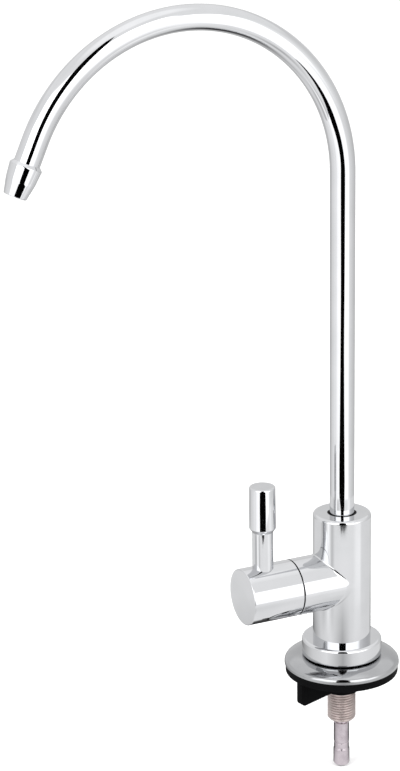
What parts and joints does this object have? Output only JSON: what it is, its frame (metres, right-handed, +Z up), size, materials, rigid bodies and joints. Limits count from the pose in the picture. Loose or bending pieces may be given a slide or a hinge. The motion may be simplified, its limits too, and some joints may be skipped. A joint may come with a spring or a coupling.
{
  "type": "drinking water filter tap",
  "caption": "Slim chromed filter tap: round body on a domed deck plate, side valve arm with an upright quarter-turn lever, tall swivelling gooseneck spout and a threaded shank with wing nut.",
  "frame": {"origin": "centre of the sealing face under the deck gasket, where the shank's axis meets the deck", "axes": "+Z up along the body and the straight of the spout; -Y out along the valve arm and, at rest, under the spout; +X to the side that the lever turns to"},
  "size_m": [0.0448, 0.1555, 0.3085],
  "materials": {
    "polished_chrome": "polished",
    "satin_chrome": "satin",
    "nickelled_thread": "satin",
    "stem_tube": "satin",
    "black_rubber": "matte",
    "black_plastic": "satin",
    "white_plastic": "satin",
    "turned_brass": "satin",
    "spring_steel": "satin",
    "ceramic_disc": "satin"
  },
  "bodies": {
    "tap": {"tap_body": "polished_chrome", "base_collar": "polished_chrome", "collar_seal": "black_rubber", "cover_plate": "satin_chrome", "deck_gasket": "black_rubber", "threaded_shank": "nickelled_thread", "shank_seal": "black_rubber", "inlet_stem": "stem_tube", "stem_seal": "black_rubber", "seat_seal": "black_rubber", "fixed_disc": "ceramic_disc", "cartridge_housing": "turned_brass", "cartridge_o_ring": "black_rubber", "bonnet_nut": "turned_brass", "hub_slip_ring": "black_plastic", "spout_bush": "black_plastic"},
    "handle": {"moving_disc": "ceramic_disc", "spindle": "turned_brass", "spindle_o_rings": "black_rubber", "thrust_washer": "white_plastic", "spindle_clip": "spring_steel", "handle_hub": "polished_chrome", "lever": "polished_chrome", "lever_stud": "spring_steel"},
    "spout": {"spout_tube": "polished_chrome", "spout_tail": "turned_brass", "spout_o_rings": "black_rubber", "spout_glide_ring": "white_plastic", "nozzle": "polished_chrome", "nozzle_seal": "black_rubber", "flow_straightener": "white_plastic"},
    "nut_washer": {"clamp_washer": "white_plastic"},
    "wing_nut": {"wing_nut": "black_plastic"}
  },
  "joints": [
    {"name": "handle_turn", "type": "hinge", "parent": "tap", "child": "handle", "pos_m": [0, 0, 0.0387], "axis": [0, 1, 0], "range_deg": [0, 90]},
    {"name": "spout_swivel", "type": "hinge", "parent": "tap", "child": "spout", "pos_m": [0, 0, 0.2], "axis": [0, 0, 1], "continuous": true},
    {"name": "nut_travel", "type": "slide", "parent": "tap", "child": "nut_washer", "axis": [0, 0, -1], "range_m": [0, 0.01]},
    {"name": "nut_spin", "type": "hinge", "parent": "nut_washer", "child": "wing_nut", "pos_m": [0, 0, 0], "axis": [0, 0, -1], "range_deg": [0, 3400]}
  ],
  "couplings": [
    {"joint": "nut_travel", "follows": "nut_spin", "m_per_rad": 0.00016839}
  ]
}
